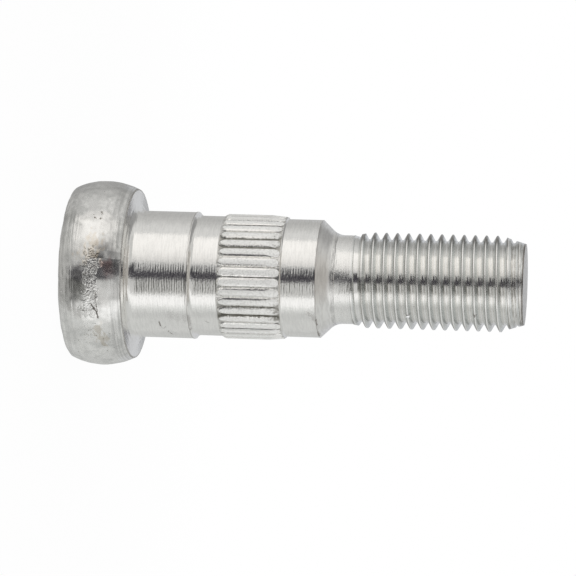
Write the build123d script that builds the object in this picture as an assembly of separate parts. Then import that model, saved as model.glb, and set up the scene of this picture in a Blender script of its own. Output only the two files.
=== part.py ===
from build123d import *
import os
from math import pi, radians, sin, tan

# Wheel stud, in millimetres. It stands on its head: the head's outer face lies at z = 0,
# centred on the origin, and the axis runs up +Z to the threaded end.

# Forged head, a thick disc with a barrelled side
head_diameter = 21.26  # across the widest ring
head_height = 7.25
head_crown = 0.9  # how far the barrelled side falls in towards each face
head_corner_radius = 0.6
seat_fillet = 1.1  # in the corner between the bearing face and the shoulder

# Plain shoulder under the head, which steps down to the body at 45 degrees
shoulder_diameter = 14.56
shoulder_length = 7.1
shoulder_step_fillet = 0.5

# Body, whose end carries the knurl
body_diameter = 13.76
body_length = 2.8  # from the step to the knurl
knurl_length = 7.25
knurl_teeth = 38
tooth_height = 0.27
groove_angle = 60  # between the two flanks of a groove, in degrees
groove_floor = 0.08  # width of the flat floor of a groove
tooth_tip_chamfer = 0.36  # off the corners of a tooth's two ends, which come to a blunt point
tooth_embed = 0.12  # how deep a tooth is rooted in the body

# The teeth get lower over the end that enters the hub first
lead_in_length = 2.0
lead_in_drop = 0.16

# Pilot beyond the knurl, and the cone down to the neck
pilot_diameter = 13.48
pilot_length = 4.05
cone_angle = 44  # between the cone's side and the axis, in degrees
cone_fillet = 2.1
neck_diameter = 10.14
neck_length = 1.78

# Threaded end, drawn at the outer diameter of its 7/16-20 thread
thread_diameter = 10.97
thread_length = 19.7
thread_start_length = 1.4  # the first turns, which rise from the neck
point_diameter = 9.2  # of the flat end face
point_length = 2.6

head_radius = head_diameter / 2
seat_radius = head_radius - head_crown
shoulder_radius = shoulder_diameter / 2
seat_width = seat_radius - shoulder_radius
body_radius = body_diameter / 2
crest_radius = body_radius + tooth_height
pilot_radius = pilot_diameter / 2
neck_radius = neck_diameter / 2
cone_side = (pilot_radius - neck_radius) / sin(radians(cone_angle))
thread_radius = thread_diameter / 2

# Heights above the head's outer face
shoulder_top = head_height + shoulder_length
body_bottom = shoulder_top + shoulder_radius - body_radius
knurl_bottom = body_bottom + body_length
knurl_top = knurl_bottom + knurl_length
pilot_top = knurl_top + pilot_length
neck_bottom = pilot_top + (pilot_radius - neck_radius) / tan(radians(cone_angle))
thread_bottom = neck_bottom + neck_length
stud_top = thread_bottom + thread_length


def turned_body():
    """The head, shank and threaded end as one turned solid, without the knurl's teeth."""
    seat_corner = (shoulder_radius, head_height)
    step_corner = (body_radius, body_bottom)
    cone_corner = (neck_radius, neck_bottom)
    cone_room = min(cone_side, neck_length) / 2 / tan(radians(cone_angle / 2))
    with BuildPart() as turned:
        with BuildSketch(Plane.XZ) as section:
            with BuildLine():
                Line((0, 0), (seat_radius, 0))
                ThreePointArc((seat_radius, 0), (head_radius, head_height / 2), (seat_radius, head_height))
                Polyline(
                    (seat_radius, head_height),
                    seat_corner,
                    (shoulder_radius, shoulder_top),
                    step_corner,
                    (body_radius, knurl_top),
                    (pilot_radius, knurl_top + body_radius - pilot_radius),
                    (pilot_radius, pilot_top),
                    cone_corner,
                    (neck_radius, thread_bottom),
                    (thread_radius, thread_bottom + thread_start_length),
                    (thread_radius, stud_top - point_length),
                    (point_diameter / 2, stud_top),
                    (0, stud_top),
                    (0, 0),
                )
            make_face()
            round_corner(section, (seat_radius, 0), head_corner_radius)
            round_corner(section, seat_corner, min(seat_fillet, seat_width / 2))
            round_corner(section, step_corner, shoulder_step_fillet)
            round_corner(section, cone_corner, min(cone_fillet, cone_room))
        revolve(axis=Axis.Z)
    return turned.part


def round_corner(section, corner, radius):
    """Rounds the corner of the section that lies at the given radius and height."""
    vertex = section.vertices().sort_by_distance((corner[0], corner[1], 0))[0]
    fillet(vertex, radius)


def knurl_tooth():
    """One tooth on the +X side: a tapered ridge with blunt ends that gets lower over the lead-in."""
    pitch = 2 * pi * body_radius / knurl_teeth
    flank_lean = groove_angle / 2 - 180 / knurl_teeth
    root_width = pitch - groove_floor + 2 * tooth_embed * tan(radians(flank_lean))
    root = Plane(
        origin=(body_radius - tooth_embed, 0, (knurl_bottom + knurl_top) / 2),
        x_dir=(0, 0, 1),
        z_dir=(1, 0, 0),
    )
    with BuildPart() as tooth:
        with BuildSketch(root) as outline:
            Rectangle(knurl_length, root_width)
            chamfer(outline.vertices(), tooth_tip_chamfer)
        extrude(amount=2 * tooth_height + tooth_embed, taper=flank_lean)
        with BuildSketch(Plane.XZ):
            with BuildLine():
                Polyline(
                    (0, knurl_bottom),
                    (crest_radius, knurl_bottom),
                    (crest_radius, knurl_top - lead_in_length),
                    (crest_radius - lead_in_drop, knurl_top),
                    (0, knurl_top),
                    close=True,
                )
            make_face()
        revolve(axis=Axis.Z, mode=Mode.INTERSECT)
    return tooth.part


def wheel_stud():
    """The turned body with a ring of teeth fused to it."""
    tooth = knurl_tooth()
    teeth = [Rot(0, 0, 360 * number / knurl_teeth) * tooth for number in range(knurl_teeth)]
    return turned_body().fuse(*teeth)


os.makedirs("parts", exist_ok=True)
export_step(wheel_stud(), "parts/wheel_stud.step")
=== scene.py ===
import random
from math import atan2, cos, pi, radians, sin, tan

import bpy
from mathutils import Matrix, Vector


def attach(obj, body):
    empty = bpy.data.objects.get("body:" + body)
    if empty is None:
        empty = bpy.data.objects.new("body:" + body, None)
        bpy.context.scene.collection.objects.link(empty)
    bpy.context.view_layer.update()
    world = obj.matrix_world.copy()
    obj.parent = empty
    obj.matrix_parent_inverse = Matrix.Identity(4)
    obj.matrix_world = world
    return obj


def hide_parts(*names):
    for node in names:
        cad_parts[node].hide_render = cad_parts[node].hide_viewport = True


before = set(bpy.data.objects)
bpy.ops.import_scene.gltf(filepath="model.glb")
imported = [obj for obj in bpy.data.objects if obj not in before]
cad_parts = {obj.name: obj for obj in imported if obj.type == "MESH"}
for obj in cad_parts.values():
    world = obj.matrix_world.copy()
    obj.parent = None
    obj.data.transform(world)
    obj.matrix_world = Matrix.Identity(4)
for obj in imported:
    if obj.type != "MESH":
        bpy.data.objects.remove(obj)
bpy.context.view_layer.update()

# The stud stands on its head with its axis on +Z. Its sizes are in millimetres and are scaled to
# metres where a mesh is made. A turn is an angle round the axis, in degrees from the front
# towards -X.
mm = 0.001

# Forged head
head_radius = 10.63
head_height = 7.25
head_crown = 0.9
head_corner_radius = 0.6
seat_fillet = 1.1
dent_width = 1.9
dent_depth = 0.13
chip_depth = 0.04

# Turned shank
shoulder_radius = 7.28
shoulder_length = 7.1
shoulder_step_fillet = 0.5
lip_length = 0.3
lip_width = 0.1
lip_height = 0.05
lip_end_height = 0.04
body_radius = 6.88
body_length = 2.8
pilot_radius = 6.74
pilot_length = 4.05
cone_angle = radians(44)
cone_fillet = 2.1
neck_radius = 5.07
neck_length = 1.78

# Knurl
knurl_length = 7.25
knurl_teeth = 38
tooth_height = 0.27
tooth_embed = 0.12
tooth_end_rounding = 0.52
tooth_end_arch = 1.5
tooth_chamfer = 0.17
tooth_wander = 0.06
groove_angle = radians(60)
groove_floor = 0.06
lead_in_length = 2.0
lead_in_drop = 0.16
first_groove = radians(-89.2)

# Rolled thread
thread_radius = 5.485
thread_root_radius = 4.68
thread_pitch = 1.27
thread_length = 19.7
thread_flank = radians(60)
crest_rounding = 0.13
first_crest = 34.202
run_in_end = 1.6
point_length = 2.0
point_start_radius = 5.22
point_end_radius = 4.62

# Drop of zinc on one crest of the thread
drop_radius = 0.24
drop_flatness = 0.4
drop_turn = -45.9
drop_height = 39.16

# Facets round the axis. The thread's and its crop's numbers share no factor with the core's, so
# that their lines don't fall on each other.
core_sides = 8 * knurl_teeth
knurl_crop_sides = 4 * knurl_teeth
thread_sides = 121
thread_crop_sides = 239

shoulder_top = head_height + shoulder_length
body_bottom = shoulder_top + shoulder_radius - body_radius
knurl_bottom = body_bottom + body_length
knurl_top = knurl_bottom + knurl_length
pilot_top = knurl_top + pilot_length
neck_bottom = pilot_top + (pilot_radius - neck_radius) / tan(cone_angle)
thread_bottom = neck_bottom + neck_length
stud_top = thread_bottom + thread_length
crest_radius = body_radius + tooth_height
seat_radius = head_radius - head_crown


def select_only(piece):
    bpy.ops.object.select_all(action="DESELECT")
    piece.select_set(True)
    bpy.context.view_layer.objects.active = piece


def edit(piece):
    select_only(piece)
    bpy.ops.object.mode_set(mode="EDIT")


def finish_edit():
    bpy.ops.object.mode_set(mode="OBJECT")


def point_arc(centre, radius, start, end, steps):
    """Points (radius, height) along an arc, with its angles in degrees from the outward direction."""
    angles = [radians(start + (end - start) * step / steps) for step in range(steps + 1)]
    return [(centre[0] + radius * cos(angle), centre[1] + radius * sin(angle)) for angle in angles]


def drawn_outline(name, outline):
    """A chain of edges through the (radius, height) points of an outline."""
    bpy.ops.object.select_all(action="DESELECT")
    bpy.ops.mesh.primitive_plane_add(size=mm)
    piece = bpy.context.object
    piece.name = name
    bpy.ops.object.mode_set(mode="EDIT")
    bpy.ops.mesh.select_mode(type="VERT")
    bpy.ops.mesh.merge(type="CENTER")
    place = (0.0, 0.0)
    for number, point in enumerate(outline):
        step = ((point[0] - place[0]) * mm, 0, (point[1] - place[1]) * mm)
        if number == 0:
            bpy.ops.transform.translate(value=step)
        else:
            bpy.ops.mesh.extrude_region_move(TRANSFORM_OT_translate={"value": step})
        place = point
    finish_edit()
    return piece


def turned(piece, sides, turns=1, rise=0.0):
    """Turns an outline round the axis; with a rise it winds up as a thread does."""
    select_only(piece)
    lathe = piece.modifiers.new("lathe", "SCREW")
    lathe.steps = sides
    lathe.render_steps = sides
    lathe.screw_offset = rise * mm
    lathe.iterations = turns
    lathe.use_merge_vertices = True
    lathe.merge_threshold = 0.001 * mm
    bpy.ops.object.modifier_apply(modifier=lathe.name)
    edit(piece)
    bpy.ops.mesh.select_all(action="SELECT")
    bpy.ops.mesh.remove_doubles(threshold=0.001 * mm)
    bpy.ops.mesh.normals_make_consistent(inside=False)
    finish_edit()
    return piece


def combined(piece, other, operation):
    """Adds, cuts or crops a solid with another, which is used up."""
    select_only(piece)
    step = piece.modifiers.new(operation.lower(), "BOOLEAN")
    step.operation = operation
    step.solver = "EXACT"
    step.object = other
    bpy.ops.object.modifier_apply(modifier=step.name)
    bpy.data.objects.remove(other)
    return piece


def cut_off(piece, height, keep_above):
    """Cuts a closed end square at a height."""
    edit(piece)
    bpy.ops.mesh.select_all(action="SELECT")
    bpy.ops.mesh.bisect(
        plane_co=(0, 0, height * mm),
        plane_no=(0, 0, 1),
        use_fill=True,
        clear_inner=keep_above,
        clear_outer=not keep_above,
    )
    finish_edit()


def fillet_points(corner, before, after, radius, steps):
    """Points that round a corner of an outline between the points before and after it."""
    start = Vector(before) - Vector(corner)
    end = Vector(after) - Vector(corner)
    start.normalize()
    end.normalize()
    half = start.angle(end) / 2
    reach = radius / tan(half)
    centre = Vector(corner) + (start + end).normalized() * (radius / sin(half))
    first = Vector(corner) + start * reach - centre
    last = Vector(corner) + end * reach - centre
    begin = atan2(first.y, first.x)
    sweep = (atan2(last.y, last.x) - begin + pi) % (2 * pi) - pi
    turns = [begin + sweep * step / steps for step in range(steps + 1)]
    return [(centre.x + radius * cos(turn), centre.y + radius * sin(turn)) for turn in turns]


def evenly_held(outline):
    """Adds points to the long straight runs of an outline, so that they shade straight."""
    longest_bare_run = 0.6
    row_spacing = 0.5
    end_row = 0.06
    held = [outline[0]]
    for start, end in zip(outline, outline[1:]):
        run = Vector(end) - Vector(start)
        if run.length > longest_bare_run:
            rows = int(run.length / row_spacing) + 1
            shares = [end_row / run.length]
            shares += [row / rows for row in range(1, rows)]
            shares += [1 - end_row / run.length]
            held += [tuple(Vector(start) + run * share) for share in shares]
        held.append(end)
    return held


def head_outline():
    """The head from the middle of its face, round its crowned side, to the fillet under it."""
    inner_ring, outer_ring, seat_ring = 4, seat_radius - 1.0, shoulder_radius + 1.4
    side_steps, steps_in_corner = 28, 3
    degrees_per_radian = 57.2958
    crown_radius = ((head_height / 2) ** 2 + head_crown**2) / (2 * head_crown)
    half_angle = degrees_per_radian * atan2(head_height / 2, crown_radius - head_crown)
    centre = (head_radius - crown_radius, head_height / 2)
    side = point_arc(centre, crown_radius, -half_angle, half_angle, side_steps)[steps_in_corner:]
    outline = [(inner_ring, 0), (outer_ring, 0)]
    outline += fillet_points((seat_radius, 0), (0, 0), side[0], head_corner_radius, 6)
    outline += side + [(seat_ring, head_height)]
    seat, shoulder = (seat_radius, head_height), (shoulder_radius, shoulder_top)
    outline += fillet_points((shoulder_radius, head_height), seat, shoulder, seat_fillet, 8)
    return outline


def shank_outline():
    """The shoulder with its raised lip, the body, the pilot, the cone and the neck."""
    overlap = 0.2
    outline = [
        (shoulder_radius, shoulder_top - lip_length),
        (shoulder_radius + lip_height, shoulder_top - lip_width),
        (shoulder_radius + lip_end_height, shoulder_top),
        (shoulder_radius - lip_height, shoulder_top + lip_height),
    ]
    shoulder, body = (shoulder_radius, shoulder_top), (body_radius, knurl_bottom)
    outline += fillet_points((body_radius, body_bottom), shoulder, body, shoulder_step_fillet, 5)
    outline += [
        (body_radius, knurl_top),
        (pilot_radius, knurl_top + body_radius - pilot_radius),
        (pilot_radius, pilot_top),
    ]
    pilot, neck = (pilot_radius, pilot_top), (neck_radius, thread_bottom)
    outline += fillet_points((neck_radius, neck_bottom), pilot, neck, cone_fillet, 8)
    return outline + [(neck_radius, thread_bottom + overlap)]


def turned_core():
    """The head, shank and neck, and a rod inside the threaded end."""
    rod_radius = thread_root_radius - 0.2
    rod_bottom, rod_top = thread_bottom + 2.4, stud_top - 3
    rod = [(rod_radius, rod_bottom), (rod_radius, rod_top), (0, rod_top)]
    outline = [(0, 0)] + evenly_held(head_outline() + shank_outline()) + rod
    return turned(drawn_outline("wheel_stud_body", outline), core_sides)


def rolled_thread():
    """The thread's full turns, cropped to the ramp at its start and the point at its end."""
    turns_below, turns = 4, 20
    overrun = 0.3
    ramp_end = run_in_end + 0.4
    point_row = point_length + 1
    crest_half = crest_rounding * sin(thread_flank)
    crest_drop = crest_rounding * (1 - cos(thread_flank))
    rise = thread_radius - crest_drop - thread_root_radius
    root_half = thread_pitch / 2 - crest_half - rise / tan(thread_flank)
    root_rounding = root_half / (sin(thread_flank) - (1 - cos(thread_flank)) / tan(thread_flank))
    crest_centre = (thread_radius - crest_rounding, 0)
    root_centre = (thread_root_radius + root_rounding, thread_pitch / 2)
    outline = point_arc(root_centre, root_rounding, 180, 120, 3)
    outline = [(radius, height - thread_pitch) for radius, height in outline]
    outline += point_arc(crest_centre, crest_rounding, -60, 60, 4)
    outline += point_arc(root_centre, root_rounding, 240, 180, 3)
    lift = first_crest - turns_below * thread_pitch
    outline = [(radius, height + lift) for radius, height in outline]
    thread = turned(drawn_outline("thread", outline), thread_sides, turns, thread_pitch)
    cut_off(thread, thread_bottom - overrun, True)
    cut_off(thread, stud_top + overrun, False)
    crop = [
        (0, thread_bottom - 0.1),
        (neck_radius - 0.03, thread_bottom - 0.1),
        (neck_radius + overrun, thread_bottom + run_in_end),
        (thread_radius + overrun, thread_bottom + ramp_end),
        (thread_radius + overrun, stud_top - point_row),
        (point_start_radius, stud_top - point_length),
        (point_end_radius, stud_top),
        (0, stud_top),
    ]
    return combined(thread, turned(drawn_outline("crop", crop), thread_crop_sides), "INTERSECT")


def knurl_tooth():
    """One tooth on the +X side, tapered to a chamfered top with arched ends."""
    pitch = 2 * pi * body_radius / knurl_teeth
    lean = groove_angle / 2 - pi / knurl_teeth
    height = tooth_height + tooth_embed
    root_width = pitch - groove_floor + 2 * tooth_embed * tan(lean)
    top_width = root_width - 2 * height * tan(lean)
    top_length_share = 1 - 2 * height * tan(lean) / knurl_length
    middle = (knurl_bottom + knurl_top) / 2
    bpy.ops.object.select_all(action="DESELECT")
    bpy.ops.mesh.primitive_cube_add(
        size=mm, location=((body_radius - tooth_embed + height / 2) * mm, 0, middle * mm)
    )
    tooth = bpy.context.object
    bpy.ops.object.mode_set(mode="EDIT")
    bpy.ops.transform.resize(value=(height, root_width, knurl_length / tooth_end_arch))
    select_edges(tooth, lambda one, other: abs(one.x - other.x) > 0.1 * mm)
    bpy.ops.mesh.bevel(offset=tooth_end_rounding * mm, segments=5)
    bpy.ops.mesh.select_all(action="SELECT")
    bpy.ops.transform.resize(value=(1, 1, tooth_end_arch))
    select_vertices(tooth, lambda place: place.x > 0)
    bpy.ops.transform.resize(value=(1, top_width / root_width, top_length_share))
    select_edges(tooth, lambda one, other: one.x > 0 and other.x > 0)
    bpy.ops.mesh.bevel(offset=tooth_chamfer * mm, segments=1)
    finish_edit()
    return tooth


def select_vertices(piece, wanted):
    """Selects the vertices whose place, relative to the piece's middle, is wanted."""
    bpy.ops.object.mode_set(mode="OBJECT")
    for vertex in piece.data.vertices:
        vertex.select = wanted(vertex.co)
    for edge in piece.data.edges:
        edge.select = all(piece.data.vertices[number].select for number in edge.vertices)
    for face in piece.data.polygons:
        face.select = all(piece.data.vertices[number].select for number in face.vertices)
    bpy.ops.object.mode_set(mode="EDIT")


def select_edges(piece, wanted):
    """Selects the edges whose two ends, relative to the piece's middle, are wanted."""
    bpy.ops.mesh.select_mode(type="EDGE")
    bpy.ops.object.mode_set(mode="OBJECT")
    places = piece.data.vertices
    for face in piece.data.polygons:
        face.select = False
    for vertex in piece.data.vertices:
        vertex.select = False
    for edge in piece.data.edges:
        edge.select = wanted(places[edge.vertices[0]].co, places[edge.vertices[1]].co)
    bpy.ops.object.mode_set(mode="EDIT")


def apply_place(piece):
    select_only(piece)
    bpy.ops.object.transform_apply(location=True, rotation=True, scale=True)


def knurl_ring():
    """All the teeth of the knurl as one mesh of separate ridges, lower at the end that goes in first."""
    chance = random.Random(5)
    overrun = 0.5
    pattern = knurl_tooth()
    apply_place(pattern)
    teeth = []
    for number in range(knurl_teeth):
        tooth = pattern.copy()
        tooth.data = pattern.data.copy()
        bpy.context.collection.objects.link(tooth)
        tooth.rotation_euler.z = first_groove + 2 * pi * (number + 0.5) / knurl_teeth
        tooth.location.z = chance.uniform(-tooth_wander, tooth_wander) * mm
        apply_place(tooth)
        teeth.append(tooth)
    bpy.data.objects.remove(pattern)
    bpy.ops.object.select_all(action="DESELECT")
    for tooth in teeth:
        tooth.select_set(True)
    bpy.context.view_layer.objects.active = teeth[0]
    bpy.ops.object.join()
    ring = bpy.context.object
    crop = [
        (0, knurl_bottom - overrun),
        (crest_radius + overrun, knurl_bottom - overrun),
        (crest_radius + overrun, knurl_top - lead_in_length - 1),
        (crest_radius, knurl_top - lead_in_length),
        (crest_radius - lead_in_drop, knurl_top),
        (crest_radius - lead_in_drop, knurl_top + overrun),
        (0, knurl_top + overrun),
    ]
    return combined(ring, turned(drawn_outline("crop", crop), knurl_crop_sides), "INTERSECT")


def on_surface(radius, turn, height):
    """A place on a round of the stud."""
    return direction(turn) * (radius * mm) + Vector((0, 0, height * mm))


def forged_skin(stud):
    """Uneven dents of the forging on the head, fading out below the seat."""
    skin = bpy.data.textures.new("forged_skin", "CLOUDS")
    skin.noise_scale = dent_width * mm
    skin.noise_depth = 2
    select_only(stud)
    bpy.ops.object.vertex_group_add()
    for below_seat, weight in ((0.35, 0.4), (0.9, 1.0)):
        select_vertices(stud, lambda place: place.z < (head_height - below_seat) * mm)
        bpy.context.scene.tool_settings.vertex_group_weight = weight
        bpy.ops.object.vertex_group_assign()
    finish_edit()
    dents = stud.modifiers.new("dents", "DISPLACE")
    dents.texture = skin
    dents.strength = dent_depth * mm
    dents.mid_level = 0.55
    dents.vertex_group = stud.vertex_groups[0].name
    bpy.ops.object.modifier_apply(modifier=dents.name)


def scattered(chance, count, turns, heights, sizes):
    """Chips at random, each with its turn, height and size."""
    return [
        (chance.uniform(*turns), chance.uniform(*heights), chance.uniform(*sizes)) for _ in range(count)
    ]


def crowned_radius(height):
    """The radius of the head's crowned side at a height."""
    return head_radius - head_crown * ((height - head_height / 2) / (head_height / 2)) ** 2


def pitted(stud):
    """Cuts the crack and the pits into the head."""
    # Each chip is a turn, a height and a size.
    crack = [
        (-19.7, 4.0, 0.06), (-20.5, 4.05, 0.07), (-21.3, 4.13, 0.06), (-22.5, 4.32, 0.15),
        (-23.3, 4.42, 0.07), (-24.2, 4.52, 0.07), (-19.9, 4.57, 0.05), (-21.5, 4.61, 0.06),
        (-23.0, 4.64, 0.06), (-25.2, 4.62, 0.09), (-26.0, 4.6, 0.1), (-26.8, 4.65, 0.09),
        (-27.7, 4.66, 0.1), (-28.6, 4.7, 0.08), (-12.4, 4.52, 0.05), (-14.2, 4.54, 0.05),
        (-16.4, 4.5, 0.05),
    ]
    upper_pits = [
        (39.8, 4.57, 0.12), (38.2, 4.62, 0.08), (35.0, 4.55, 0.12), (35.4, 3.9, 0.1),
        (37.6, 3.72, 0.08), (49.9, 1.78, 0.12), (48.6, 1.55, 0.1), (50.9, 2.05, 0.09),
        (60.5, 4.2, 0.08), (56.0, 4.4, 0.07),
    ]
    chance = random.Random(11)
    middle_pits = scattered(chance, 26, (-43, -33), (2.9, 4.3), (0.07, 0.12))
    lower_pits = scattered(chance, 34, (-62, -40), (1.6, 6.4), (0.05, 0.09))
    chips = [(head_radius - chip_depth, *chip) for chip in crack + upper_pits]
    chips += [(head_radius, *chip) for chip in middle_pits]
    chips += [(crowned_radius(height), turn, height, size) for turn, height, size in lower_pits]
    bpy.ops.object.select_all(action="DESELECT")
    stones = []
    for radius, turn, height, size in chips:
        bpy.ops.mesh.primitive_ico_sphere_add(
            subdivisions=1,
            radius=size * mm,
            location=on_surface(radius, turn, height),
            rotation=(chance.uniform(0, 3), chance.uniform(0, 3), chance.uniform(0, 3)),
            scale=(1, chance.uniform(0.7, 1.3), chance.uniform(0.7, 1.3)),
        )
        stones.append(bpy.context.object)
    for stone in stones:
        stone.select_set(True)
    bpy.ops.object.transform_apply(location=True, rotation=True, scale=True)
    bpy.ops.object.join()
    stones = bpy.context.object
    edit(stones)
    bpy.ops.mesh.select_all(action="SELECT")
    bpy.ops.mesh.intersect_boolean(operation="UNION", use_self=True, solver="EXACT")
    bpy.ops.mesh.normals_make_consistent(inside=False)
    finish_edit()
    return combined(stud, stones, "DIFFERENCE")


def thread_with_drop():
    """The thread with the small drop of zinc on one crest."""
    thread = rolled_thread()
    bpy.ops.object.select_all(action="DESELECT")
    bpy.ops.mesh.primitive_ico_sphere_add(
        subdivisions=2,
        radius=drop_radius * mm,
        location=on_surface(thread_radius + 0.02, drop_turn, drop_height),
        rotation=(0, 0, radians(25)),
        scale=(1, drop_flatness, 1),
    )
    drop = bpy.context.object
    apply_place(drop)
    return combined(thread, drop, "UNION")


def wheel_stud_piece():
    """The whole stud as one mesh."""
    stud = turned_core()
    forged_skin(stud)
    pitted(stud)
    combined(stud, knurl_ring(), "UNION")
    combined(stud, thread_with_drop(), "UNION")
    edit(stud)
    bpy.ops.mesh.select_all(action="SELECT")
    bpy.ops.mesh.remove_doubles(threshold=0.002 * mm)
    bpy.ops.mesh.normals_make_consistent(inside=False)
    finish_edit()
    select_only(stud)
    bpy.ops.object.shade_smooth_by_angle(angle=radians(32))
    return stud


class Value:
    """A shader value. Arithmetic on it adds Math nodes."""

    def __init__(self, shader, socket):
        self.shader = shader
        self.socket = socket

    def other(self, number):
        """Another output of the same node."""
        return Value(self.shader, self.socket.node.outputs[number])

    def maths(self, operation, *others):
        sockets = {number: other for number, other in enumerate((self, *others))}
        return self.shader.node("ShaderNodeMath", {"operation": operation}, sockets)

    def __add__(self, other):
        return self.maths("ADD", other)

    def __radd__(self, other):
        return self.maths("ADD", other)

    def __sub__(self, other):
        return self.maths("SUBTRACT", other)

    def __rsub__(self, other):
        return self.shader.node("ShaderNodeMath", {"operation": "SUBTRACT"}, {0: other, 1: self})

    def __mul__(self, other):
        return self.maths("MULTIPLY", other)

    def __rmul__(self, other):
        return self.maths("MULTIPLY", other)


class Shader:
    """The node tree of a new material or world."""

    object_output = 3

    def __init__(self, owner):
        owner.use_nodes = True
        self.owner = owner
        self.tree = owner.node_tree
        self.tree.nodes.clear()

    def node(self, kind, settings=None, inputs=None, output=0):
        added = self.tree.nodes.new(kind)
        for setting, value in (settings or {}).items():
            setattr(added, setting, value)
        for socket, value in (inputs or {}).items():
            if isinstance(value, Value):
                self.tree.links.new(value.socket, added.inputs[socket])
            else:
                added.inputs[socket].default_value = value
        return Value(self, added.outputs[output]) if added.outputs else added

    def object_place(self):
        return self.node("ShaderNodeTexCoord", output=self.object_output)

    def length(self, vector):
        return self.node("ShaderNodeVectorMath", {"operation": "LENGTH"}, {0: vector}, output=1)

    def ramp(self, value, low, high, first, last):
        """Maps a value from low..high straight to first..last and holds it at the ends."""
        settings = {"interpolation_type": "LINEAR", "clamp": True}
        sockets = {"Value": value, 1: low, 2: high, 3: first, 4: last}
        return self.node("ShaderNodeMapRange", settings, sockets)

    def span(self, value, low, high, first=0.0, last=1.0):
        """Maps a value from low..high to first..last with soft ends."""
        settings = {"interpolation_type": "SMOOTHSTEP"}
        sockets = {"Value": value, 1: low, 2: high, 3: first, 4: last}
        return self.node("ShaderNodeMapRange", settings, sockets)

    def window(self, value, low, full, fall, end):
        """Rises from low to full, stays at one, and falls again to its end."""
        return self.span(value, low, full) * self.span(value, fall, end, 1.0, 0.0)

    def largest(self, values):
        most = values[0]
        for value in values[1:]:
            most = most.maths("MAXIMUM", value)
        return most

    def noise(self, place, scale, detail):
        """Noise whose grains are about 1/scale long along each axis."""
        spot = self.node("ShaderNodeMapping", None, {"Vector": place, "Scale": scale})
        return self.node("ShaderNodeTexNoise", None, {"Vector": spot, "Scale": 1.0, "Detail": detail})

    def blend(self, amount, one, other):
        """Mixes two colours, by the colour sockets 6 and 7 of a Mix node and its colour output 2."""
        return self.node("ShaderNodeMix", {"data_type": "RGBA"}, {0: amount, 6: one, 7: other}, output=2)

    def emission(self, colour):
        return self.node("ShaderNodeEmission", None, {"Color": (*colour, 1), "Strength": 1.0})

    def finish_material(self, surface):
        self.node("ShaderNodeOutputMaterial", None, {"Surface": surface})
        return self.owner


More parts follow.
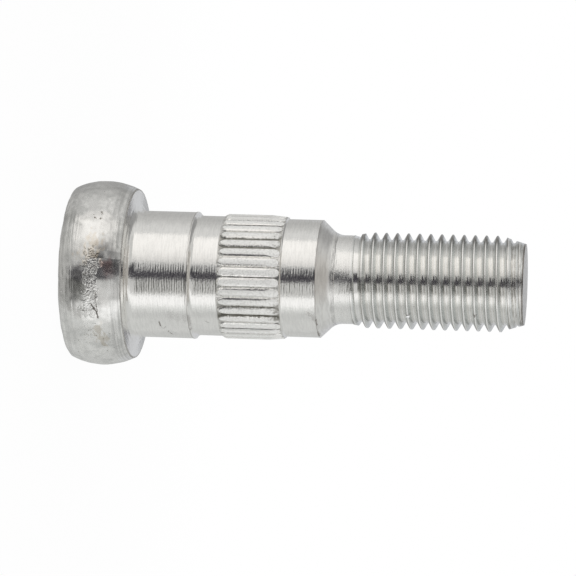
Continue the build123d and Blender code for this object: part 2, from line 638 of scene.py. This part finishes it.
class ZincPlate(Shader):
    """Bright zinc over turned steel, with a mottled forged head, grime in the thread and knurl, and painted
    shade and highlights on the thread, the knurl and the head.
    """

    def __init__(self):
        super().__init__(bpy.data.materials.new("zinc_plate"))
        self.find_places()
        self.find_parts()
        self.make_patterns()
        self.find_thread()
        self.find_knurl()
        self.find_edges()
        self.find_marks()

    def find_places(self):
        """The height, turn and radius of a point of the surface, and its phase in the thread."""
        place = self.object_place()
        across = self.node("ShaderNodeSeparateXYZ", None, {0: place})
        to_axis = {0: place, 1: (1 / mm, 1 / mm, 0)}
        winding = across.other(1).maths("ARCTAN2", across) * (0.5 / pi)
        self.place = place
        self.height = across.other(2) * (1 / mm)
        self.turn = (across * -1).maths("ARCTAN2", across.other(1) * -1) * (180 / pi)
        self.from_front = self.turn.maths("ABSOLUTE")
        self.radius = self.length(self.node("ShaderNodeVectorMath", {"operation": "MULTIPLY"}, to_axis))
        turns_up = (self.height - first_crest) * (1 / thread_pitch) - winding
        self.phase = turns_up.maths("FLOORED_MODULO", 1.0)
        self.from_crest = self.phase.maths("PINGPONG", 0.5)

    def part(self, low, full, fall, end):
        """A mask of the heights from full to fall."""
        return self.window(self.height, low, full, fall, end)

    def find_parts(self):
        """Masks of the parts of the stud."""
        height, span, part = self.height, self.span, self.part
        self.head = span(height, head_height - 0.1, head_height - 0.02, 1.0, 0.0)
        self.low_edge = span(height, 1.0, 2.6, 1.0, 0.0)
        self.high_edge = part(5.4, 6.4, head_height - 0.1, head_height)
        self.seat = part(head_height - 0.06, head_height - 0.02, head_height + 0.02, head_height + 0.3)
        self.knurled = part(knurl_bottom - 0.05, knurl_bottom + 0.2, knurl_top - 0.1, knurl_top + 0.05)
        self.cone = part(pilot_top - 0.05, pilot_top, neck_bottom - 0.3, neck_bottom)
        self.neck = part(neck_bottom - 0.3, neck_bottom, thread_bottom, thread_bottom + 0.4)
        self.neck_marks = part(
            neck_bottom - 0.3, neck_bottom - 0.1, neck_bottom + 0.15, neck_bottom + 0.25
        )
        self.end_face = span(height, stud_top - 0.03, stud_top - 0.01)
        self.threaded = span(height, thread_bottom - 0.2, thread_bottom + 0.8) * (1 - self.end_face)
        self.point = span(height, stud_top - 2.0, stud_top - 1.4)
        rolled = self.threaded * span(height, stud_top - 1.9, stud_top - 1.4, 1.0, 0.0)
        self.turned_part = (1 - self.head) * (1 - self.cone * 0.85) * (1 - rolled * 0.88)

    def make_patterns(self):
        """The noises that the finish is made of."""
        place = self.place
        self.waver = self.noise(place, (300, 300, 300), 2.0)
        self.patches = self.noise(place, (420, 420, 420), 2.5)
        self.blotches = self.noise(place, (700, 700, 700), 1.0)
        self.mottling = self.noise(place, (1300, 1300, 1300), 3.0)
        self.forged = self.noise(place, (1300, 1300, 2200), 1.5)
        self.scratches = self.noise(place, (800, 800, 5600), 3.0)
        self.edge_rings = self.noise(place, (110, 110, 3300), 2.0)
        self.grain = self.noise(place, (4200, 4200, 6000), 2.0)
        self.crystals = self.noise(place, (4600, 4600, 4600), 1.0)
        self.fine_rag = self.noise(place, (7000, 7000, 7000), 2.0)

    def find_thread(self):
        """Masks of the thread's flanks and crests, and of the tips that show dark in its outline."""
        turn, from_crest, span, window = self.turn, self.from_crest, self.span, self.window
        # The turns where the upper flanks get a painted highlight
        bright_turns = window(turn, 62, 78, 96, 112)
        # The turns away from the front, where the thread gets painted shade
        painted_shade_turns = window(self.from_front, 34, 56, 100, 150)
        tip_depth = span(self.radius, thread_radius - 0.34, thread_radius - 0.12)
        high_tips = window(turn, 50, 64, 100, 125) * tip_depth
        low_tips = window(turn, -125, -100, -72, -55) * span(self.phase, 0.72, 0.86)
        # The flanks, which are painted darker as painted shade, and made rougher
        self.flank = window(from_crest, 0.05, 0.09, 0.25, 0.33) * self.threaded
        # The upper flanks at those turns, painted near white as a painted highlight
        self.flank_highlight = bright_turns * window(from_crest, 0.17, 0.24, 0.4, 0.48) * self.threaded
        # The crests, painted lighter as a painted highlight, and made rougher
        self.crest = span(from_crest, 0.03, 0.06, 1.0, 0.0) * self.threaded
        self.crest_edge = window(self.phase, 0.86, 0.89, 0.93, 0.96) * self.threaded
        self.tips = (high_tips * 0.85 + low_tips * 0.8) * self.threaded
        # Painted shade on the thread at those turns, most on the upper side
        self.thread_painted_shade = self.threaded * painted_shade_turns * span(turn, -20, 20, 0.1, 0.32)

    def find_knurl(self):
        """Masks of the teeth's matt crests and of the grime and painted shade in the grooves between them.
        """
        lead_in = self.span(self.height, knurl_top - lead_in_length, knurl_top) * lead_in_drop
        crests = self.span(self.radius + lead_in, crest_radius - 0.035, crest_radius - 0.012)
        # The turns where the grooves get painted shade on top of their grime, darkest in this narrow band
        darkest_groove_turns = self.window(self.turn, -46.5, -44, -40, -37.5)
        groove_shade_turns = self.window(self.from_front, 21, 28, 40, 50)
        tooth_middle = self.part(knurl_bottom + 0.3, knurl_bottom + 0.8, knurl_top - 0.9, knurl_top - 0.4)
        ragged_radius = self.radius + self.forged * 0.2 + self.crystals * 0.3 - 0.25
        level = ragged_radius - groove_shade_turns * 0.11 - darkest_groove_turns * 0.06
        depth = self.span(level, body_radius - 0.04, body_radius + 0.09, 1.0, 0.0)
        grime_and_groove_shade = groove_shade_turns * 0.75 + darkest_groove_turns * 0.25 + 0.09
        self.matt = crests * self.knurled
        self.groove = depth * self.knurled * grime_and_groove_shade.maths("MAXIMUM", (1 - tooth_middle) * 0.45)

    def ragged_line(self, rag, edge, low, full, fall, end):
        """A mask of a ragged line round the stud, by its heights from an edge."""
        return self.window(self.height + self.forged * rag, edge + low, edge + full, edge + fall, edge + end)

    def find_edges(self):
        """Masks of the darker lines along the stud's sharp edges."""
        burr_reach = self.span(self.radius, 9.55, 9.7)
        end_reach = self.span(self.radius, 4.5, 4.56)
        self.burr = self.ragged_line(0.1, head_height, -0.11, -0.03, 0.05, 0.1) * burr_reach
        # A dark line along the lip's edge, painted shade
        self.lip = self.ragged_line(0.16, shoulder_top, -0.1, -0.03, 0, 0.06)
        self.cone_edge = self.ragged_line(0.2, pilot_top, 0, 0.07, 0.12, 0.2)
        self.end_edge = self.ragged_line(0.14, stud_top, -0.14, -0.06, 0.08, 0.1) * end_reach

    def mark(self, ragged, radius, start, end, width, rag=0.8, soft=0.6):
        """A ragged mark along a line between two places on a round, each a turn and a height."""
        along = self.ramp(self.turn, start[0], end[0], 0.0, 1.0)
        rise = self.height - (along * (end[1] - start[1]) + start[1])
        sweep = (self.turn - (along * (end[0] - start[0]) + start[0])) * (radius * pi / 180)
        distance = (rise * rise + sweep * sweep).maths("SQRT") + (ragged - 0.5) * (width * rag * 4)
        return self.span(distance, width * (1 - soft), width, 1.0, 0.0)

    def head_blot(self, start, end, width, rag=0.8, soft=1.0):
        """A soft blot on the head."""
        return self.mark(self.forged, head_radius, start, end, width, rag, soft)

    def find_marks(self):
        """Masks of the crack, the pits, the scratches and the drop of zinc."""
        # Each line of the crack and each pit has a start and an end, each a turn and a height, and a width.
        crack = [
            ((-19.5, 3.98), (-21.9, 4.18), 0.08),
            ((-22.4, 4.3), (-22.7, 4.34), 0.17),
            ((-22.7, 4.35), (-25.2, 4.6), 0.08),
            ((-19.9, 4.57), (-24.8, 4.68), 0.07),
            ((-25.9, 4.6), (-29.3, 4.7), 0.12),
            ((-12.4, 4.52), (-19.0, 4.5), 0.05),
        ]
        pits = [
            ((39.8, 4.57), (39.0, 4.62), 0.17),
            ((35.0, 4.55), (35.3, 4.6), 0.17),
            ((35.5, 3.85), (35.2, 4.0), 0.16),
        ]
        # A scratch also has the radius of the round that it is on and a strength.
        scratch_lines = [
            (shoulder_radius, (-48.0, 10.89), (-54.0, 10.96), 0.11, 1.0),
            (shoulder_radius, (-54.5, 10.96), (-58.5, 11.24), 0.09, 0.4),
            (shoulder_radius, (-58.5, 11.24), (-54.5, 11.6), 0.1, 0.4),
            (shoulder_radius, (-62.6, 11.7), (-70.0, 12.1), 0.12, 0.8),
            (shoulder_radius, (-38.0, 12.3), (-43.0, 12.3), 0.5, 0.2),
            (shoulder_radius, (-39.0, 13.1), (-45.0, 13.1), 0.5, 0.16),
            (shoulder_radius, (-40.0, 13.9), (-46.0, 13.9), 0.45, 0.2),
            (shoulder_radius, (-40.0, 14.41), (-52.0, 14.41), 0.2, 0.45),
            (shoulder_radius, (-57.4, 14.4), (-58.6, 14.4), 0.2, 0.6),
            (body_radius, (-49.6, 16.3), (-51.0, 16.4), 0.22, 0.3),
            (pilot_radius, (-43.0, 28.89), (-52.0, 28.9), 0.09, 1.0),
            (pilot_radius, (-64.0, 28.88), (-77.0, 28.92), 0.14, 0.9),
            (pilot_radius, (-37.0, 28.1), (-40.5, 28.6), 0.45, 0.4),
            (pilot_radius, (-44.0, 28.6), (-47.0, 28.8), 0.22, 0.4),
            (thread_radius, (-42.2, 46.7), (-42.9, 46.7), 0.27, 1.0),
        ]
        cracked = [self.mark(self.fine_rag, head_radius, *line) for line in crack]
        scratched = [
            self.mark(self.fine_rag, *line, 0.8, 0.9) * strength for *line, strength in scratch_lines
        ]
        self.dark = self.largest(cracked + scratched)
        self.pitting = self.largest([self.mark(self.fine_rag, head_radius, *line) for line in pits])
        drop_line = ((drop_turn + 0.1, drop_height), (drop_turn - 0.1, drop_height), drop_radius + 0.01)
        drop = self.mark(self.forged, thread_radius, *drop_line, 0.0, 0.2)
        self.zinc_drop = drop * self.span(self.radius, thread_radius + 0.02, thread_radius + 0.06)

    def relief(self):
        """Heights in millimetres of the turning marks, the forging, the rings and the dished seat."""
        feed_pitch = 0.29
        feed = (self.height * (2 * pi / feed_pitch) + self.waver * 5).maths("SINE")
        seat_place = self.node("ShaderNodeCombineXYZ", None, {0: self.radius})
        seat_rings = self.noise(seat_place, (5.5, 1, 1), 2.0)
        dish = self.ramp(self.radius, shoulder_radius + seat_fillet, seat_radius, 0.31, 0.0)
        rough_strip = self.mark(self.forged, head_radius, (12, 4.0), (-24, 3.75), 0.85)
        return (
            (feed * 0.002 + self.scratches * 0.022) * self.turned_part
            + self.scratches * (self.neck_marks * 0.05 + self.neck * 0.02 + self.point * 0.06)
            + (self.blotches * 0.05 + self.forged * 0.012) * self.head
            + self.edge_rings * (self.low_edge * 0.1 + self.high_edge * 0.04)
            + seat_rings * self.seat * 0.03
            + self.crystals * (rough_strip * 0.08 + self.knurled * 0.034)
            + self.grain * (self.turned_part * 0.008 + 0.0012)
            + dish * self.span(self.height, 3, 4)
        )

    # Each layer below is an amount and the colour that it lays over the ones before.

    def steel_layers(self):
        streaks = self.span(self.scratches, 0.42, 0.62) * 0.1 + self.span(self.blotches, 0.4, 0.65) * 0.05
        cone_scratches = self.cone * self.span(self.scratches, 0.4, 0.62)
        neck_scratches = self.neck_marks * self.span(self.scratches, 0.3, 0.6, 0.2, 0.5)
        return [
            (streaks, (0.45, 0.45, 0.44)),
            (cone_scratches * 0.12, (0.4, 0.39, 0.38)),
            (neck_scratches, (0.5, 0.49, 0.48)),
            (self.cone_edge * 0.45, (0.3, 0.28, 0.26)),
            # Painted shade along the lip's edge
            (self.lip * 0.6, (0.3, 0.28, 0.26)),
        ]

    def thread_layers(self):
        point_streaks = self.point * self.span(self.scratches, 0.4, 0.6, 0.05, 0.4)
        clean_end_face = self.end_face * (1 - self.end_edge)
        return [
            # Painted shade: the thread's flanks are painted darker
            (self.flank * 0.6, (0.7, 0.725, 0.715)),
            # Painted shade over the thread's turns away from the front, most on the upper side
            (self.thread_painted_shade, (0.45, 0.46, 0.46)),
            # A painted highlight on the flanks at the upper turns
            (self.flank_highlight * 0.8, (0.98, 0.99, 1.0)),
            # A painted highlight along the crests
            (self.crest, (0.98, 0.97, 0.95)),
            (self.crest_edge * 0.7, (0.3, 0.27, 0.23)),
            (self.tips, (0.2, 0.19, 0.17)),
            (self.end_edge, (0.24, 0.22, 0.2)),
            (point_streaks, (0.4, 0.39, 0.36)),
            (clean_end_face * 0.5, (0.92, 0.91, 0.88)),
            (self.zinc_drop, (1.0, 1.0, 1.0)),
        ]

    def knurl_layers(self):
        flecks = self.matt * self.span(self.crystals, 0.5, 0.6)
        return [
            (self.matt, (1.0, 0.995, 0.97)),
            (flecks * 0.5, (0.74, 0.735, 0.71)),
            # Grime and painted shade in the knurl's grooves
            (self.groove * 0.85, (0.22, 0.21, 0.18)),
        ]

    def head_layers(self):
        """Mottling, lighter patches, a painted highlight, painted shade, rings, near-black blots, the burr,
        stains and pits of the head.
        """
        mottle = self.head * self.span(self.mottling, 0.48, 0.66)
        dark_patches = self.head * self.span(self.patches, 0.47, 0.66)
        # Lighter patches of random tone, and a painted highlight across the head near turn -22
        light_patches_and_highlight = self.head * self.largest([
            self.span(self.patches, 0.3, 0.48, 1.0, 0.0) * 0.6,
            self.head_blot((-21, 3.0), (-24, 6.0), 1.6, 0.6) * 0.8,
        ])
        rings = self.span(self.edge_rings, 0.42, 0.6) * (self.low_edge * 0.2 + self.high_edge * 0.45)
        # Painted shade on the head: its upper turns, and blots near its edges, are painted darker
        head_painted_shade = self.largest([
            self.window(self.turn + self.blotches * 50, 72, 96, 130, 190) * self.head,
            self.head_blot((50, 1.5), (37, 1.3), 1.5),
            self.head_blot((50, 6.0), (38, 6.3), 1.5),
            self.head_blot((22, 5.9), (14, 5.8), 1.5),
        ])
        # Near-black blots on the head's side
        near_black_blots = self.largest([
            self.head_blot((14.0, 5.3), (13.0, 6.1), 1.9, 0.15) * 0.75,
            self.head_blot((8.8, 4.9), (8.4, 6.2), 1.7, 0.15, 0.9),
            self.head_blot((-3.0, 2.3), (-15.0, 2.1), 1.3, 0.5, 0.9) * 0.5,
        ])
        return [
            (mottle * 0.3, (0.5, 0.51, 0.49)),
            (dark_patches * 0.3, (0.42, 0.42, 0.41)),
            # Lighter random patches and a painted highlight
            (light_patches_and_highlight, (1.0, 0.995, 0.975)),
            (rings, (0.4, 0.4, 0.39)),
            # Painted shade on the head
            (head_painted_shade * 0.42, (0.45, 0.45, 0.44)),
            # Near-black blots on the head's side
            (near_black_blots * 0.85, (0.12, 0.12, 0.125)),
            (self.burr * 0.45, (0.24, 0.22, 0.2)),
            (self.head_blot((11, 3.7), (18, 4.3), 1.4, 1.0) * 0.38, (0.8, 0.68, 0.52)),
            (self.head_blot((4.5, 5.75), (0, 6.0), 1.0, 0.4) * 0.45, (0.62, 0.4, 0.38)),
            (self.head_blot((-37.0, 4.5), (-49.0, 5.1), 0.75, 1.2) * 0.38, (0.42, 0.34, 0.22)),
            (self.pitting * 0.5, (0.25, 0.22, 0.18)),
        ]

    def roughness(self):
        return (
            0.15
            + self.span(self.grain, 0.57, 0.67) * 0.08
            + (self.flank + self.crest) * 0.1
            + self.head * 0.09
            + (self.matt + self.dark + self.burr) * 0.4
            + self.groove * 0.2
            + self.end_face * 0.15
            + self.neck * 0.07
            + self.cone * 0.17
            - self.zinc_drop * 0.05
        )

    def material(self):
        colour = (0.935, 0.925, 0.9, 1)
        layers = self.steel_layers() + self.thread_layers() + self.knurl_layers() + self.head_layers()
        for amount, tint in layers + [(self.dark * 0.85, (0.1, 0.08, 0.06))]:
            colour = self.blend(amount, colour, (*tint, 1))
        bump = {"Height": self.relief(), "Strength": 1.0, "Distance": mm}
        sockets = {
            "Base Color": colour,
            "Metallic": 1 - self.dark * 0.7 - self.matt * 0.55,
            "Roughness": self.roughness(),
            "Normal": self.node("ShaderNodeBump", None, bump),
        }
        return self.finish_material(self.node("ShaderNodeBsdfPrincipled", None, sockets))


def studio_floor():
    """A white floor that shows the stud's soft shadow and runs out into the white air."""
    floor_radius = 0.2
    shadow_start, shadow_end = 0.015, 0.12
    bpy.ops.object.select_all(action="DESELECT")
    bpy.ops.mesh.primitive_circle_add(
        vertices=128, radius=floor_radius, fill_type="NGON", location=(0, 0, 0)
    )
    floor = bpy.context.object
    floor.name = "floor"
    floor.visible_glossy = False
    shader = Shader(bpy.data.materials.new("floor_white"))
    reach = shader.length(shader.object_place())
    glow_share = shader.span(reach, shadow_start, shadow_end, 0.96, 1.0)
    camera_ray = shader.node("ShaderNodeLightPath")
    plain = shader.node("ShaderNodeBsdfDiffuse", None, {"Color": (0.9, 0.9, 0.9, 1)})
    glow = shader.emission((1, 1, 1))
    seen = shader.node("ShaderNodeMixShader", None, {0: camera_ray * glow_share, 1: plain, 2: glow})
    floor.data.materials.append(shader.finish_material(seen))


def direction(turn, climb=0.0):
    """A direction that is turned from the front, towards -X, and climbs, in degrees."""
    turn, climb = radians(turn), radians(climb)
    return Vector((-sin(turn) * cos(climb), -cos(turn) * cos(climb), sin(climb)))


def card(name, corners, colour, distance=0.5):
    """An evenly lit card round the stud, seen only in reflections. Its corners are turns and climbs."""
    bpy.ops.object.select_all(action="DESELECT")
    bpy.ops.mesh.primitive_uv_sphere_add(segments=72, ring_count=36, radius=distance, location=(0, 0, 0))
    piece = bpy.context.object
    piece.name = name
    places = [direction(turn, climb) for turn, climb in corners]
    middle = sum(places, Vector())
    bpy.ops.object.mode_set(mode="EDIT")
    for number, place in enumerate(places):
        edge = places[number - 1].cross(place)
        if edge.dot(middle) > 0:
            edge = -edge
        bpy.ops.mesh.select_all(action="SELECT")
        bpy.ops.mesh.bisect(plane_co=(0, 0, 0), plane_no=edge, clear_outer=True)
    finish_edit()
    piece.visible_camera = False
    piece.visible_diffuse = False
    shader = Shader(bpy.data.materials.new(name))
    piece.data.materials.append(shader.finish_material(shader.emission(colour)))


def studio_cards():
    """Grey and dark cards in the white studio air, which the plating shows as bands."""
    black, dim_above, dim_below = (0.052, 0.049, 0.058), (0.05, 0.05, 0.055), (0.155, 0.155, 0.146)
    card("black_cloth", [(6, -64), (6, 62), (-9, 62), (-9, -64)], black, 0.45)
    card("dim_cloth_above", [(18, -7.5), (17, 60), (6, 60), (6, -7.5)], dim_above, 0.45)
    card("dim_cloth_below", [(-9, -9), (-9, -60), (-35, -60), (-34, -9)], dim_below, 0.45)
    warm, cool, grey = (1.0, 0.985, 0.965), (0.985, 1.0, 0.99), (1.0, 1.0, 0.99)
    # Each upright card has the turns of its two sides, its shade and its tone.
    upright_cards = [
        (-38, 23, 0.6, grey), (23, 32, 0.78, warm), (32, 42, 0.9, warm), (42, 54, 0.97, warm),
        (54, 78, 1.0, warm), (78, 88, 0.7, grey), (88, 98, 0.7, grey), (98, 106, 0.65, grey),
        (106, 115, 0.58, grey), (115, 128, 0.52, grey), (128, 180, 0.47, grey), (180, 232, 0.57, cool),
        (232, 272, 0.63, cool), (272, 287, 0.58, cool), (287, 294, 0.67, cool), (294, 301, 0.8, cool),
    ]
    for number, (start, end, shade, tone) in enumerate(upright_cards):
        corners = [(start, -75), (start, 75), (end, 75), (end, -75)]
        card(f"upright_card_{number + 1}", corners, tuple(shade * part for part in tone))
    # Each card of the low ring and of the lowest one, behind it, has its top's climb and its shade.
    low_cards = [(-22, 0.45), (-22, 0.45), (-28, 0.56), (-28, 0.56), (-28, 0.56), (-28, 0.56)]
    lowest_cards = [(-43, 0.4), (-39, 0.52), (-39, 0.52), (-39, 0.52), (-43, 0.4), (-43, 0.4)]
    rings = (("low", low_cards, -46, 0.48), ("lowest", lowest_cards, -70, 0.43))
    for number in range(len(low_cards)):
        start = -62 + 30 * number
        end = start + 30
        for ring, cards, bottom, distance in rings:
            top, shade = cards[number]
            corners = [(start, top), (start, bottom), (end, bottom), (end, top)]
            card(f"{ring}_card_{number + 1}", corners, (shade, shade, shade * 0.98), distance)
    card("high_card", [(19, 28), (50, 28), (88, 28), (88, 58), (19, 58)], (0.6, 0.6, 0.59), 0.48)
    card("rear_high_card", [(163, 24), (163, 60), (197, 60), (197, 24)], (0.2, 0.2, 0.21), 0.45)
    card("rear_left_card", [(112, 20), (112, 60), (165, 60), (165, 20)], (0.31, 0.31, 0.31), 0.46)
    card("rear_card", [(145, -2), (145, 24), (215, 24), (215, -2)], (0.61, 0.62, 0.64), 0.455)
    card("overhead_card", [(0, 62), (90, 62), (180, 62), (270, 62)], (0.42, 0.4, 0.375), 0.46)
    card("under_card", [(0, -62), (90, -62), (180, -62), (270, -62)], (0.4, 0.4, 0.39), 0.46)


def studio_air():
    """White to the camera and in reflections, a soft even light to the rest."""
    shader = Shader(bpy.data.worlds.new("studio_air"))
    path = shader.node("ShaderNodeLightPath")
    seen = shader.node("ShaderNodeBackground", None, {"Color": (1, 1, 1, 1), "Strength": 1.0})
    light = shader.node("ShaderNodeBackground", None, {"Color": (0.8, 0.8, 0.8, 1), "Strength": 1.0})
    # The light path's outputs for camera, glossy and transmission rays
    white = path + path.other(3) + path.other(6)
    mix = shader.node("ShaderNodeMixShader", None, {0: white, 1: light, 2: seen})
    shader.node("ShaderNodeOutputWorld", None, {"Surface": mix})
    bpy.context.scene.world = shader.owner


# The camera lies on its side, so that the standing stud runs across the picture from left to right.
stud_lean = radians(7.991)
stud_slope = radians(1.691)
aim_height = 49.98
aim_place = (24.856, 0.426, -327.58)
lens_pixels = 2885
picture_width = 576


def studio_camera():
    """Places the camera from the way it sees the stud: its axis, and the place of a point on it."""
    up_axis = Vector((cos(stud_lean) * cos(stud_slope), -cos(stud_lean) * sin(stud_slope), sin(stud_lean)))
    ahead = Vector((0, 0, -1))
    far_axis = (ahead - ahead.dot(up_axis) * up_axis).normalized()
    right_axis = far_axis.cross(up_axis)
    turn = Matrix((right_axis, far_axis, up_axis))
    place = Vector((0, 0, aim_height * mm)) - turn @ (Vector(aim_place) * mm)
    lens = bpy.data.cameras.new("studio_camera")
    lens.sensor_width = 36
    lens.lens = lens.sensor_width * lens_pixels / picture_width
    lens.clip_start = 0.01
    camera = bpy.data.objects.new("studio_camera", lens)
    bpy.context.collection.objects.link(camera)
    camera.matrix_world = Matrix.Translation(place) @ turn.to_4x4()
    bpy.context.scene.camera = camera


stud = wheel_stud_piece()
stud.name = "stud"
stud.data.materials.append(ZincPlate().material())
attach(stud, "root")
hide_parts("wheel_stud")

studio_floor()
studio_cards()
studio_air()
studio_camera()
bpy.context.scene.view_settings.view_transform = "Standard"
